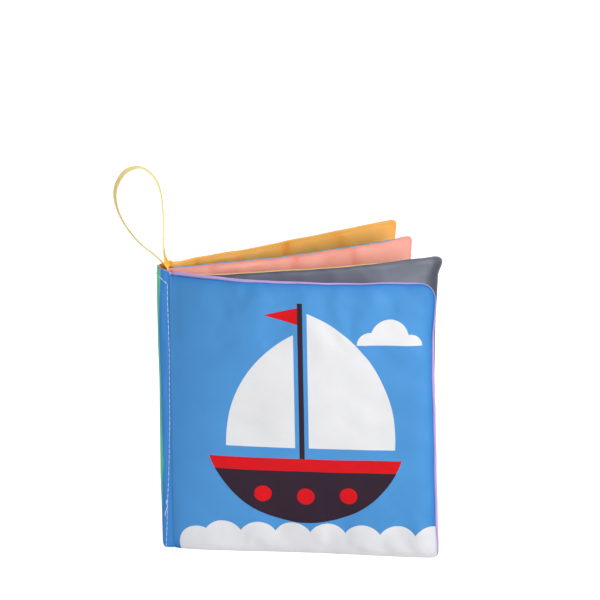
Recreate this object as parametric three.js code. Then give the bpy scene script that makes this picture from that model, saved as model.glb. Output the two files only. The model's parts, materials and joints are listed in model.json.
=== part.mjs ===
// A soft crinkle book for a baby, standing half open. Four padded cloth leaves are sewn together
// along a folded spine, and a ribbon loop is caught in the top of the spine.
// Two double-wide cloth sheets make the leaves: the outer sheet is both covers, and the inner sheet,
// folded inside it, is leaves two and three. Each leaf is a front cloth and a back cloth with a
// crackling film and thin wadding between them.
// Millimetres, +Z up. The front cover faces -Y, the free edges point to +X, the book stands on z = 0.
import * as THREE from 'three';

// Leaf sizes. A leaf's width runs from the spine seam's hinge line to its free edge. The hand-sewn
// leaves differ a little: the inner sheet lies off centre, and the back cover is cut full.
const pageWidth = 137.5;
const pageHeight = 150;
const leafTwoExtraWidth = 5;
const leafTwoShortfall = 1.5;
const leafThreeExtraHeight = 0.5;
const backCoverExtraWidth = 4;
const backCoverExtraHeight = 2.5;
const coverCornerRadius = 8;      // the front cover's top corner curls a little, so it looks rounder
const pageCornerRadius = 3.5;
const footCornerRadius = 3;
const edgePull = 2.2;             // how far the padding draws a free edge in between its corners
const leafThreeRootLift = 0.8;    // how much higher a leaf's top edge runs into the spine
const backCoverRootLift = 1.5;
const rootLiftReach = 8;

// The padding of a leaf
const crownThickness = 3.4;     // outside to outside, over the middle of a leaf
const edgeThickness = 1.5;      // at the turned seams, and where the spine seam presses the leaf
const edgeReach = 13;           // from a turned seam to where the padding is full
const rootReach = 24;           // from the spine seam to where the padding is full
const fabricThickness = 0.45;
const filmThickness = 0.25;
const layerGap = 0.3;           // between cloth, film and wadding, and between neighbouring cloths
const seamRoll = 0.9;           // how far one cloth of a leaf shows past the other
const fillInset = 8;            // from the leaf's free edges to the film and the wadding
const fillRootInset = 14;       // from the hinge line to them, where the leaf is thick enough
const fillCornerRadius = 4;

// The spine: the strip of both sheets between their fold and the seam
const leafGap = 0.35;           // between neighbouring leaves at the seam
const rootClearance = 0.35;     // from the seam's hinge plane to the leaves' roots
const hingeProud = 0.15;        // the hinge lines lie this far outside the pressed leaves
const spineReach = 6.3;         // from the hinge plane to the outside of the fold
const foldFootRise = 2.8;       // the spine's foot is rounded at the fold, by this much
const innerFoldReach = 2.85;    // from the hinge plane to the outside of the inner sheet's fold

// The line of stitches drifts: its distances from the hinge plane at its top, middle and foot
const seamInset = 1.2;
const seamMiddleInset = 0.95;
const seamFootInset = 3.6;
const seamMiddleHeight = 70;

// The seam's threads and the ribbon
const threadDiameter = 0.4;
const stitchLength = 3;
const stitchDip = 0.08;
const threadSeat = 0.22;        // between the spine cloth and the thread at a stitch hole
const seamFoot = 2;             // height of the lowest stitch
const seamTurnDrop = 7;         // from the top of the page to where the seam turns to the fold
const seamEndDrop = 3.5;        // from the top of the page to where it reaches the fold
const foldMargin = 0.6;         // each thread ends this far short of the middle of the fold
const ribbonWidth = 3;
const ribbonThickness = 0.45;
const ribbonSewnDepth = 14;     // how far the ribbon's ends run down inside the spine
const ribbonRise = 1;           // from the top of the page to where the ribbon runs free
const ribbonPlace = 3.58;       // from the hinge plane to the middle of the ribbon's two ends

// How finely the forms are divided
const leafColumns = 12;
const footArcSteps = 2;
const topArcSteps = 4;
const leafBands = 7;
const cornerDrawShare = 3;      // the corner's rounding reaches this many radii into the cloth
const footRoundness = 5;        // a power: how late the spine's foot rises towards the fold
const liftFade = 4;             // a power: how fast a root's lift fades down the leaf
const pullFade = 6;             // a power: how fast the free edge's pull fades towards the spine
const fillArcSteps = 2;
const fillBands = 4;
const headingSteps = 240;
const spineSteps = 22;
const threadSides = 5;
const ribbonSteps = 76;
const ribbonCornerShare = 0.3;

// A leaf leaves the seam square to the spine and then bends. Its headings, in degrees from +X
// towards the back, are given at these shares of its width, along its top edge and along its foot.
// Its free edge is drawn in by these shares of the edge pull, at these shares of its height.
const headingPlaceShares = [0, 0.04, 0.12, 0.25, 0.4, 0.6, 0.8, 1];
const pullPlaceShares = [0, 0.17, 0.33, 0.5, 0.67, 0.83, 0.94, 1];
const leaves = [
  {
    name: 'front_cover', cloths: ['front_cover_outside', 'front_cover_inside'],
    width: pageWidth, height: pageHeight,
    top: [0, -27, -22, -17, -9, -2, 2, -10], foot: [0, -16, -10, -3, -5, -6, -8, -5],
    pullShares: [0, 0.25, 0.4, 0.6, 0.8, 1, 0.85, 0.55], topRadius: coverCornerRadius,
    rootLift: 0, rolls: [seamRoll, 0],
    closing: 20, colours: ['#4f92d6', '#bba2d6'],
  },
  {
    name: 'leaf_2', cloths: ['leaf_2_front', 'leaf_2_back'],
    width: pageWidth + leafTwoExtraWidth, height: pageHeight - leafTwoShortfall,
    top: [0, -4, -2, 9, 11, 15, 21, 19], foot: [0, 8, 7, 8, 11, 14, 16, 17],
    pullShares: [0.6, 0.8, 1.1, 1.3, 1.4, 1.2, 0.85, 0], topRadius: pageCornerRadius,
    rootLift: 0, rolls: [seamRoll, 0],
    closing: 8, colours: ['#74777f', '#e8c88c'],
  },
  {
    name: 'leaf_3', cloths: ['leaf_3_front', 'leaf_3_back'],
    width: pageWidth, height: pageHeight + leafThreeExtraHeight,
    top: [0, 26, 18, 16, 20, 26, 32, 36], foot: [0, 25, 22, 21, 23, 27, 30, 31],
    pullShares: [0.2, 0.5, 0.7, 0.8, 0.8, 0.7, 0.5, 0], topRadius: pageCornerRadius,
    rootLift: leafThreeRootLift, rolls: [seamRoll, 0],
    closing: 8, colours: ['#f4a49a', '#5fa3c4'],
  },
  {
    name: 'back_cover', cloths: ['back_cover_inside', 'back_cover_outside'],
    width: pageWidth + backCoverExtraWidth, height: pageHeight + backCoverExtraHeight,
    top: [0, 48, 39, 30, 32, 35, 34, 34], foot: [0, 42, 39, 34, 34, 35, 34, 33],
    pullShares: [0.2, 0.4, 0.6, 0.7, 0.7, 0.6, 0.4, 0], topRadius: pageCornerRadius,
    rootLift: backCoverRootLift, rolls: [0, seamRoll],
    closing: 15, colours: ['#e8aa55', '#66c99b'],
  },
];

// The outer cloth's route round the spine, from the seam to the middle of the fold, as shares of
// the spine's reach and of the pressed leaves' depth
const spineRouteShares = [
  [0, 0.128], [0.16, 0.13], [0.36, 0.08], [0.57, 0.05], [0.79, 0.1], [0.95, 0.27], [1, 0.5],
];

const stackDepth = leaves.length * edgeThickness + (leaves.length - 1) * leafGap;
const stackMiddle = stackDepth / 2;
const clothPitch = fabricThickness + layerGap;

const fabric = (colour) => new THREE.MeshStandardMaterial({ color: colour, roughness: 0.62, metalness: 0 });
const film = () => new THREE.MeshStandardMaterial({ color: '#d9dee3', roughness: 0.25, metalness: 0 });
const wadding = () => new THREE.MeshStandardMaterial({ color: '#f3f1ec', roughness: 0.95, metalness: 0 });
const thread = () => new THREE.MeshStandardMaterial({ color: '#dfe4f2', roughness: 0.5, metalness: 0 });
const weave = () => new THREE.MeshStandardMaterial({ color: '#e9cf7e', roughness: 0.55, metalness: 0 });

const book = new THREE.Group();
book.name = 'crinkle_book';

function addPiece(name, geometry, material) {
  const mesh = new THREE.Mesh(geometry, material);
  mesh.name = name;
  book.add(mesh);
  return mesh;
}

// The value at a share, from values that are given at these places.
function valueAt(places, values, share) {
  let k = 1;
  while (k < places.length - 1 && share > places[k]) k += 1;
  const part = (share - places[k - 1]) / (places[k] - places[k - 1]);
  return THREE.MathUtils.lerp(values[k - 1], values[k], part);
}

// A route in plan for one edge of a leaf: it starts at the root and follows the headings.
function planRoute(width, headings, rootY) {
  const step = width / headingSteps;
  const samples = [];
  let x = 0;
  let y = rootY;
  for (let i = 0; i <= headingSteps; i += 1) {
    const heading = THREE.MathUtils.degToRad(valueAt(headingPlaceShares, headings, i / headingSteps));
    samples.push({ x, y, heading });
    x += Math.cos(heading) * step;
    y += Math.sin(heading) * step;
  }
  return (s) => {
    const place = THREE.MathUtils.clamp(s / step, 0, headingSteps);
    const low = Math.min(Math.floor(place), headingSteps - 1);
    const a = samples[low];
    const b = samples[low + 1];
    const part = place - low;
    return {
      x: THREE.MathUtils.lerp(a.x, b.x, part),
      y: THREE.MathUtils.lerp(a.y, b.y, part),
      heading: THREE.MathUtils.lerp(a.heading, b.heading, part),
    };
  };
}

// Rises from 0 at an edge to 1 where the padding is full: round at a turned seam, soft at the root.
const roundRise = (share) => Math.sin((Math.PI / 2) * THREE.MathUtils.clamp(share, 0, 1));
const seamRise = (distance) => roundRise(distance / edgeReach);
const rootRise = (distance) => roundRise(distance / rootReach) ** 2;

// The leaf as a bent pillow: its middle surface, and half its thickness at any place on it.
function leafForm(leaf, index) {
  const rootY = index * (edgeThickness + leafGap) + edgeThickness / 2;
  const topRoute = planRoute(leaf.width, leaf.top, rootY);
  const footRoute = planRoute(leaf.width, leaf.foot, rootY);
  const halfThickness = (s, z) => {
    const rise = rootRise(s) * seamRise(leaf.width - s) * seamRise(z) * seamRise(leaf.height - z);
    return (edgeThickness + (crownThickness - edgeThickness) * rise) / 2;
  };
  const place = (flat, z, offset) => {
    const share = z / leaf.height;
    const pull = edgePull * valueAt(pullPlaceShares, leaf.pullShares, share);
    const s = flat - pull * (flat / leaf.width) ** pullFade;
    const t = topRoute(s);
    const f = footRoute(s);
    const heading = THREE.MathUtils.lerp(f.heading, t.heading, share);
    const lift = leaf.rootLift * share ** liftFade * Math.exp(-s / rootLiftReach);
    return new THREE.Vector3(
      THREE.MathUtils.lerp(f.x, t.x, share) - Math.sin(heading) * offset,
      THREE.MathUtils.lerp(f.y, t.y, share) + Math.cos(heading) * offset,
      z + lift,
    );
  };
  // A root is cut back more the deeper it lies behind its hinge line, so that the leaf can close.
  const opensForward = index < leaves.length / 2;
  const slope = Math.tan(THREE.MathUtils.degToRad(leaf.closing));
  const rootStart = (offset) => {
    const fromFront = rootY + offset + hingeProud;
    const depth = opensForward ? fromFront : stackDepth + 2 * hingeProud - fromFront;
    return rootClearance + depth * slope;
  };
  return { halfThickness, place, rootStart };
}

// Heights of the rows of a layer, with the corners' arcs stepped evenly by angle.
function rowHeights(edge, footSteps, topSteps, bands) {
  const { foot, top, footRadius, topRadius } = edge;
  const rows = [];
  for (let i = 0; i < footSteps; i += 1) {
    rows.push(foot + footRadius * (1 - Math.cos((i / footSteps) * (Math.PI / 2))));
  }
  for (let i = 0; i <= bands; i += 1) {
    const share = (1 - Math.cos((i / bands) * Math.PI)) / 2;
    rows.push(THREE.MathUtils.lerp(foot + footRadius, top - topRadius, share));
  }
  for (let i = 1; i <= topSteps; i += 1) {
    rows.push(top - topRadius * (1 - Math.sin((i / topSteps) * (Math.PI / 2))));
  }
  return rows;
}

// All layers of a leaf share the places of their columns, so that they bend alike. A layer keeps
// the shared columns that lie between its own two ends.
function columnPlaces(width, start, end) {
  const least = width / leafColumns / 4;
  const fillEnds = [fillRootInset, width - fillInset];
  const shared = [...fillEnds];
  for (let i = 1; i < leafColumns; i += 1) {
    const s = (width * (1 - Math.cos((i / leafColumns) * Math.PI))) / 2;
    if (fillEnds.every((place) => Math.abs(s - place) > least)) shared.push(s);
  }
  const kept = shared.filter((s) => s > start + least && s < end - least).sort((a, b) => a - b);
  return [start, ...kept, end];
}

// One closed layer of a leaf between two offsets from its middle surface. Its free corners are
// round: there the last columns are drawn in towards the root.
function leafLayer(leaf, form, edge, offsets, rows) {
  const { start, end, foot, top, footRadius, topRadius } = edge;
  const places = columnPlaces(leaf.width, start, end);
  const columns = places.length - 1;
  const drawnFrom = end - cornerDrawShare * Math.max(topRadius, footRadius);
  const cornerCut = (z) => {
    const intoTop = Math.max(0, z - (top - topRadius));
    const intoFoot = Math.max(0, foot + footRadius - z);
    const radius = intoTop > 0 ? topRadius : footRadius;
    return radius - Math.sqrt(Math.max(0, radius ** 2 - Math.max(intoTop, intoFoot) ** 2));
  };
  const positions = [];
  for (const side of [0, 1]) {
    for (const z of rows) {
      for (const flat of places) {
        const s = flat - (cornerCut(z) * Math.max(0, flat - drawnFrom)) / (end - drawnFrom);
        const point = form.place(s, z, offsets(form.halfThickness(s, z))[side]);
        positions.push(point.x, point.y, point.z);
      }
    }
  }
  const width = columns + 1;
  const sideSize = width * rows.length;
  const at = (side, i, j) => side * sideSize + j * width + i;
  const triangles = [];
  const quad = (a, b, c, d) => triangles.push(a, b, c, a, c, d);
  for (let j = 0; j < rows.length - 1; j += 1) {
    for (let i = 0; i < columns; i += 1) {
      quad(at(0, i, j), at(0, i + 1, j), at(0, i + 1, j + 1), at(0, i, j + 1));
      quad(at(1, i, j), at(1, i, j + 1), at(1, i + 1, j + 1), at(1, i + 1, j));
    }
    quad(at(0, 0, j), at(0, 0, j + 1), at(1, 0, j + 1), at(1, 0, j));
    quad(at(0, columns, j), at(1, columns, j), at(1, columns, j + 1), at(0, columns, j + 1));
  }
  const last = rows.length - 1;
  for (let i = 0; i < columns; i += 1) {
    quad(at(0, i, 0), at(1, i, 0), at(1, i + 1, 0), at(0, i + 1, 0));
    quad(at(0, i, last), at(0, i + 1, last), at(1, i + 1, last), at(1, i, last));
  }
  const geometry = new THREE.BufferGeometry();
  geometry.setAttribute('position', new THREE.Float32BufferAttribute(positions, 3));
  geometry.setIndex(triangles);
  geometry.computeVertexNormals();
  return geometry;
}

// A cloth of the leaf. One of the two stops short of the outline, so that the other, rolled over the
// turned seam, shows as a fine edge round it.
function clothLayer(leaf, form, offsets, rootOffset, roll) {
  const edge = {
    start: form.rootStart(rootOffset),
    end: leaf.width - roll,
    foot: 0,
    top: leaf.height - roll,
    footRadius: footCornerRadius,
    topRadius: leaf.topRadius - roll,
  };
  return leafLayer(leaf, form, edge, offsets, rowHeights(edge, footArcSteps, topArcSteps, leafBands));
}

// Film or wadding, cut smaller than the pocket that the two cloths make.
function fillLayer(leaf, form, offsets) {
  const edge = {
    start: fillRootInset,
    end: leaf.width - fillInset,
    foot: fillInset,
    top: leaf.height - fillInset,
    footRadius: fillCornerRadius,
    topRadius: fillCornerRadius,
  };
  return leafLayer(leaf, form, edge, offsets, rowHeights(edge, fillArcSteps, fillArcSteps, fillBands));
}

function addLeaf(leaf, index) {
  const form = leafForm(leaf, index);
  const frontSide = index < leaves.length / 2;
  const half = edgeThickness / 2;
  const frontDeep = frontSide ? fabricThickness - half : -half;
  const backDeep = frontSide ? half : half - fabricThickness;
  const frontCloth = (h) => [-h, fabricThickness - h];
  const backCloth = (h) => [h - fabricThickness, h];
  const filmStart = (h) => fabricThickness - h + layerGap;
  const filmLayer = (h) => [filmStart(h), filmStart(h) + filmThickness];
  const waddingLayer = (h) => [filmStart(h) + filmThickness + layerGap, h - fabricThickness - layerGap];
  const [frontRoll, backRoll] = leaf.rolls;
  const [frontColour, backColour] = leaf.colours;
  addPiece(leaf.cloths[0], clothLayer(leaf, form, frontCloth, frontDeep, frontRoll), fabric(frontColour));
  addPiece(`${leaf.name}_crinkle_film`, fillLayer(leaf, form, filmLayer), film());
  addPiece(`${leaf.name}_wadding`, fillLayer(leaf, form, waddingLayer), wadding());
  addPiece(leaf.cloths[1], clothLayer(leaf, form, backCloth, backDeep, backRoll), fabric(backColour));
}

// A smooth route in plan, through half a fold and its mirror image about the middle of the stack.
function foldRoute(halfPoints) {
  const mirrored = halfPoints.slice(0, -1).reverse().map((p) => new THREE.Vector2(p.x, stackDepth - p.y));
  return new THREE.SplineCurve([...halfPoints, ...mirrored]);
}

// A point of a route, moved sideways towards the inside of the fold.
function routePoint(route, share, inward) {
  const point = route.getPoint(share);
  const tangent = route.getTangent(share);
  return new THREE.Vector2(point.x + tangent.y * inward, point.y - tangent.x * inward);
}

// A strip of cloth that follows a fold and stands to a height. It stands higher on its back side,
// and its foot is rounded at the fold.
function foldedStrip(route, inward, height, backExtraHeight) {
  const outside = [];
  const inside = [];
  for (let i = 0; i <= spineSteps; i += 1) {
    outside.push(routePoint(route, i / spineSteps, inward - fabricThickness / 2));
    inside.unshift(routePoint(route, i / spineSteps, inward + fabricThickness / 2));
  }
  const outline = new THREE.Shape([...outside, ...inside]);
  const geometry = new THREE.ExtrudeGeometry(outline, { depth: height, bevelEnabled: false, steps: 1 });
  const { position } = geometry.attributes;
  for (let i = 0; i < position.count; i += 1) {
    const rise = position.getZ(i) > 0
      ? backExtraHeight * (position.getY(i) / stackDepth)
      : foldFootRise * (-position.getX(i) / spineReach) ** footRoundness;
    position.setZ(i, position.getZ(i) + rise);
  }
  return geometry;
}

const outerReach = spineReach - fabricThickness / 2;
const outerRoute = foldRoute(spineRouteShares.map(
  ([reachShare, depthShare]) => new THREE.Vector2(-reachShare * outerReach, depthShare * stackDepth),
));

// The inner sheet's fold is a hairpin: two straight legs and a half circle.
function hairpinRoute(reach, legY) {
  const radius = stackMiddle - legY;
  const turn = radius - reach;
  const points = [new THREE.Vector2(0, legY), new THREE.Vector2(turn / 2, legY)];
  for (const quarterShare of [0, 1 / 3, 2 / 3, 1]) {
    const angle = (Math.PI / 2) * quarterShare;
    points.push(new THREE.Vector2(turn - radius * Math.sin(angle), stackMiddle - radius * Math.cos(angle)));
  }
  return foldRoute(points);
}

function addSpine() {
  const legY = spineRouteShares[0][1] * stackDepth;
  const innerReach = innerFoldReach - fabricThickness / 2;
  const innerHeight = pageHeight - leafTwoShortfall;
  const outerExtra = backCoverExtraHeight + backCoverRootLift;
  const innerExtra = leafTwoShortfall + leafThreeExtraHeight + leafThreeRootLift;
  const outerStrip = foldedStrip(outerRoute, 0, pageHeight, outerExtra);
  const liningStrip = foldedStrip(outerRoute, clothPitch, pageHeight, outerExtra);
  addPiece('outer_spine_strip', outerStrip, fabric('#5b8fc9'));
  addPiece('lining_spine_strip', liningStrip, fabric('#d9863a'));
  const sheetOutside = hairpinRoute(innerReach, legY + 2 * clothPitch);
  const sheetInside = hairpinRoute(innerReach - clothPitch, legY + 3 * clothPitch);
  const outsideStrip = foldedStrip(sheetOutside, 0, innerHeight, innerExtra);
  const insideStrip = foldedStrip(sheetInside, 0, innerHeight, innerExtra);
  addPiece('inner_sheet_spine_strip_outside', outsideStrip, fabric('#74777f'));
  addPiece('inner_sheet_spine_strip_inside', insideStrip, fabric('#f4a49a'));
}

// The share of the outer route where it is a given distance from the hinge plane.
function shareAtInset(route, inset) {
  let share = 0;
  while (route.getPoint(share).x > -inset) share += 1 / (spineSteps * headingSteps);
  return share;
}

// One thread of the seam's lockstitch. It lies on the spine cloth, dips at every stitch hole, and
// turns across to the fold near the top.
function addSeamThread(name, onFront) {
  const footShare = shareAtInset(outerRoute, seamFootInset);
  const middleShare = shareAtInset(outerRoute, seamMiddleInset);
  const topShare = shareAtInset(outerRoute, seamInset);
  const foldShare = shareAtInset(outerRoute, outerReach - foldMargin);
  const lift = -(fabricThickness / 2 + threadSeat + threadDiameter / 2);
  const seamTop = pageHeight - seamTurnDrop;
  const seamEnd = pageHeight - seamEndDrop;
  const runs = [
    { from: [footShare, seamFoot], to: [middleShare, seamMiddleHeight] },
    { from: [middleShare, seamMiddleHeight], to: [topShare, seamTop] },
    { from: [topShare, seamTop], to: [foldShare, seamEnd] },
  ];
  const points = [];
  for (const { from, to } of runs) {
    const length = Math.hypot(to[1] - from[1], (to[0] - from[0]) * outerRoute.getLength());
    const halves = 2 * Math.round(length / stitchLength);
    for (let i = points.length ? 1 : 0; i <= halves; i += 1) {
      const share = THREE.MathUtils.lerp(from[0], to[0], i / halves);
      const z = THREE.MathUtils.lerp(from[1], to[1], i / halves);
      const flat = routePoint(outerRoute, share, lift - (i % 2) * stitchDip);
      points.push(new THREE.Vector3(flat.x, onFront ? flat.y : stackDepth - flat.y, z));
    }
  }
  const corners = Array.from({ length: threadSides }, (_, i) => (2 * Math.PI * i) / threadSides);
  const section = new THREE.Shape(corners.map(
    (angle) => new THREE.Vector2(Math.cos(angle), Math.sin(angle)).multiplyScalar(threadDiameter / 2),
  ));
  const geometry = new THREE.ExtrudeGeometry(section, {
    steps: points.length - 1,
    extrudePath: new THREE.CatmullRomCurve3(points),
    bevelEnabled: false,
  });
  addPiece(name, geometry, thread());
}

// The ribbon's flat section, with its corners cut: its width lies along Y when it runs in XZ.
function ribbonSection(width, thickness) {
  const w = width / 2;
  const t = thickness / 2;
  const cut = thickness * ribbonCornerShare;
  return new THREE.Shape([
    [w, t - cut], [w - cut, t], [cut - w, t], [-w, t - cut],
    [-w, cut - t], [cut - w, -t], [w - cut, -t], [w, cut - t],
  ].map(([x, y]) => new THREE.Vector2(x, y)));
}

// The free loop's route in the XZ plane, from one end in the spine to the other: the distance from
// the hinge plane, and the height above the place where the ribbon runs free.
const ribbonRoute = [
  [-3.98, 0], [-4, 1.8], [-5, 3.9], [-8.3, 7.4], [-14.2, 12.1], [-19.5, 18.5], [-23.7, 25.5], [-26.1, 32.5],
  [-26.8, 38.8], [-25.4, 44.7], [-21.9, 50.3], [-17.3, 52.7], [-13.7, 52.9], [-9.7, 50.8],
  [-6.2, 46.3], [-4.2, 40.9], [-3.2, 34.1], [-2.7, 25.5], [-2.7, 19.3], [-2.9, 13.6], [-2.5, 8.2],
  [-1.7, 4.6], [-1.9, 2.1], [-2.9, 0.8], [-3.18, 0],
];

function addRibbon() {
  const ribbonExit = pageHeight + ribbonRise;
  const points = ribbonRoute.map(([x, rise]) => new THREE.Vector3(x, stackMiddle, ribbonExit + rise));
  const loop = new THREE.ExtrudeGeometry(ribbonSection(ribbonWidth, ribbonThickness), {
    steps: ribbonSteps,
    extrudePath: new THREE.CatmullRomCurve3(points),
    bevelEnabled: false,
  });
  addPiece('ribbon_loop', loop, weave());

  // Both ends run down side by side inside the fold, where the seam's turn catches them.
  const pressed = 2 * ribbonThickness + layerGap;
  const ends = new THREE.ExtrudeGeometry(ribbonSection(ribbonWidth, pressed), {
    depth: ribbonSewnDepth,
    bevelEnabled: false,
    steps: 1,
  });
  const sewnEnds = addPiece('ribbon_sewn_ends', ends, weave());
  sewnEnds.rotation.z = Math.PI / 2;
  sewnEnds.position.set(-ribbonPlace, stackMiddle, ribbonExit - layerGap - ribbonSewnDepth);
}

leaves.forEach(addLeaf);
addSpine();
addSeamThread('needle_thread', true);
addSeamThread('bobbin_thread', false);
addRibbon();

// The origin is on the floor, under the middle of the book without its free ribbon.
const extent = new THREE.Box3();
for (const piece of book.children) {
  if (piece.name !== 'ribbon_loop') extent.expandByObject(piece);
}
book.position.set(-(extent.min.x + extent.max.x) / 2, -(extent.min.y + extent.max.y) / 2, -extent.min.z);

export default book;
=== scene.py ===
# The looks of a soft crinkle book for a baby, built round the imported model.
# Each leaf is a padded pocket of two satin cloths, with crackling film and wadding inside. Cloth
# simulation gives the cloths their soft crumples, and one bending rule gives every layer of a leaf
# the same place. The spine is the folded middle of the sheets, held by a row of stitches.
from dataclasses import dataclass
import json
import math
import random

import bpy
import numpy as np
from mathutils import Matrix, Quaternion, Vector


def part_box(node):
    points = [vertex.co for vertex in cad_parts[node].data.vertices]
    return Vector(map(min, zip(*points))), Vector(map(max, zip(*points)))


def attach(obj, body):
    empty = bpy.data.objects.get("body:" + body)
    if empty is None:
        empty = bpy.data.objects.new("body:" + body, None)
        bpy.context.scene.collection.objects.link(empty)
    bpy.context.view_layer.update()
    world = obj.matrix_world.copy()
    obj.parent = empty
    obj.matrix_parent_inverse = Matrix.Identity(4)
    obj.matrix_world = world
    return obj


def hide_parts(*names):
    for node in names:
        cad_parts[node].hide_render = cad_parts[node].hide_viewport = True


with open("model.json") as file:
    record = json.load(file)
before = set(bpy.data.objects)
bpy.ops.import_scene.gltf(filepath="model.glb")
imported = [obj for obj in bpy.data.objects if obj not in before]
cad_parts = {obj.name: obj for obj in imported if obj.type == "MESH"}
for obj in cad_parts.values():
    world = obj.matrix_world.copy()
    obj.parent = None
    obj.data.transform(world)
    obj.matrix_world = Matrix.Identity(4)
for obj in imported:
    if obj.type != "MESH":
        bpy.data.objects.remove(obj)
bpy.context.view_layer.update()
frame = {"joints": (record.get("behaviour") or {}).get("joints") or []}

MM = 0.001

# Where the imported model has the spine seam's hinge plane, the front of the pressed leaves and the
# middle of their stack. Places below are in millimetres from there, like the model's own source.
JOINTS = {joint["name"]: joint for joint in frame["joints"]}
HINGE_PROUD = 0.15
HINGE_X, FRONT_HINGE_Y = JOINTS["leaf_2_turn"]["pos_m"][:2]
BACK_HINGE_Y = JOINTS["leaf_3_turn"]["pos_m"][1]
FRONT_Y = FRONT_HINGE_Y + HINGE_PROUD * MM
STACK_DEPTH = (BACK_HINGE_Y - FRONT_HINGE_Y) / MM - 2 * HINGE_PROUD
STACK_MIDDLE = STACK_DEPTH / 2

# The padding of a leaf, in millimetres
CROWN_THICKNESS = 3.4
EDGE_THICKNESS = 1.5
EDGE_REACH = 13
ROOT_REACH = 24
LEAF_PITCH = EDGE_THICKNESS + 0.35
ROOT_CLEARANCE = 0.35
COVER_START = 0.05          # the covers' outside cloth, from the hinge line
CLOTH_THICKNESS = 0.3
FILM_DEPTH = 0.65           # from a leaf's front to its film
FILM_THICKNESS = 0.15
WADDING_DEPTH = 1.0         # from a leaf's front to its wadding
WADDING_BACK_DEPTH = 0.6    # from a leaf's back to its wadding
FILL_INSET = 8
FILL_ROOT_INSET = 14
FOOT_RADIUS = 3
EDGE_PULL = 2.2
PULL_FADE = 6
ROOT_LIFT_REACH = 8
LIFT_FADE = 4

# Headings of a leaf's edges in degrees from +X towards the back, at these shares of its width, and
# shares of the edge pull at these shares of its height
PLACE_SHARES = [0, 0.04, 0.12, 0.25, 0.4, 0.6, 0.8, 1]
PULL_PLACES = [0, 0.17, 0.33, 0.5, 0.67, 0.83, 0.94, 1]
ROUTE_REACH = 1.04      # a leaf's form goes on this far, so that a corner can reach past its width


def row(x, y, z):
    """A place in the model's own millimetres, as a point of the shared frame in metres."""
    return np.stack(np.broadcast_arrays(HINGE_X + x * MM, FRONT_Y + y * MM, z * MM), -1)


# Camera: the photograph's view, solved from the edges of the leaves
PHOTO_SIDE = 600
FOCAL_PIXELS = 3165.987
SENSOR_WIDTH = 36
CAMERA_ELEVATION = math.radians(18.02)
CAMERA_ROLL = math.radians(-0.089)
CAMERA_DISTANCE = 1600
CAMERA_TARGET = (65.847, 0, 134.85)


def placed(name, data):
    """A new object of the scene."""
    made = bpy.data.objects.new(name, data)
    bpy.context.scene.collection.objects.link(made)
    return made


def add_camera():
    camera = placed("camera", bpy.data.cameras.new("camera"))
    camera.data.sensor_width = SENSOR_WIDTH
    camera.data.lens = FOCAL_PIXELS / PHOTO_SIDE * SENSOR_WIDTH
    camera.data.clip_end = 20
    x, y, z = CAMERA_TARGET
    camera.location = row(
        x,
        y - CAMERA_DISTANCE * math.cos(CAMERA_ELEVATION),
        z + CAMERA_DISTANCE * math.sin(CAMERA_ELEVATION),
    ).tolist()
    tilt = Quaternion((1, 0, 0), math.pi / 2 - CAMERA_ELEVATION)
    camera.rotation_mode = "QUATERNION"
    camera.rotation_quaternion = tilt @ Quaternion((0, 0, 1), CAMERA_ROLL)
    bpy.context.scene.camera = camera


add_camera()


# Materials

def linear(hex_colour):
    """An sRGB hex colour as the linear values that a shader takes."""
    parts = [int(hex_colour[i:i + 2], 16) / 255 for i in (1, 3, 5)]
    return [p / 12.92 if p <= 0.04045 else ((p + 0.055) / 1.055) ** 2.4 for p in parts] + [1]


def add(tree, kind, inputs=None, **settings):
    """Adds one node with its settings. Each input is a value, a socket that feeds it, or a node
    whose first output feeds it."""
    made = tree.nodes.new(kind)
    for name, value in settings.items():
        setattr(made, name, value)
    for name, source in (inputs or {}).items():
        if isinstance(source, bpy.types.Node):
            source = source.outputs[0]
        if isinstance(source, bpy.types.NodeSocket):
            tree.links.new(source, made.inputs[name])
        else:
            made.inputs[name].default_value = source
    return made


def maths(tree, operation, *values):
    """The outcome of a sum with numbers or sockets."""
    return add(tree, "ShaderNodeMath", dict(enumerate(values)), operation=operation).outputs[0]


def ranged(tree, value, start, end, low, high):
    """A value taken from one range to another."""
    return add(tree, "ShaderNodeMapRange", {
        "Value": value, "From Min": start, "From Max": end, "To Min": low, "To Max": high,
    }).outputs[0]


def mixed(tree, share, low, high):
    """A colour that goes from low to high with a share."""
    return add(tree, "ShaderNodeMix", {0: share, 6: low, 7: high}, data_type="RGBA").outputs[2]


def add_shader(tree, height, strength, depth, values):
    """Ends a material: a shader with these values, and a relief from a height field, with its
    strength and its depth in millimetres."""
    bump = add(tree, "ShaderNodeBump", {
        "Strength": strength, "Distance": depth * MM, "Height": height,
    })
    shader = add(tree, "ShaderNodeBsdfPrincipled", {**values, "Normal": bump})
    add(tree, "ShaderNodeOutputMaterial", {"Surface": shader})


def new_material(name):
    """An empty material, and its node tree."""
    made = bpy.data.materials.new(name)
    made.use_nodes = True
    made.node_tree.nodes.clear()
    return made, made.node_tree


SATIN_ROUGHNESS = (0.36, 0.48)
SATIN_FLOATS = 0.35     # a float's pitch across, as a share of its pitch along
NOISE_SPAN = (0.3, 0.7)         # what the noise textures take up of their range from 0 to 1
CLOUD_SHADES = (0.965, 1.03)    # soft differences of dye
GRAIN_SHADES = (0.985, 1.015)   # single threads
SATIN_PITCH = 0.45      # the real threads are 0.12 mm apart: drawn coarser, so that they show
SATIN_RELIEF = 0.02
PAINTED_SHADE_DEPTH = 0.5       # how much darker the painted shade makes the colour where it is full


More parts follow.
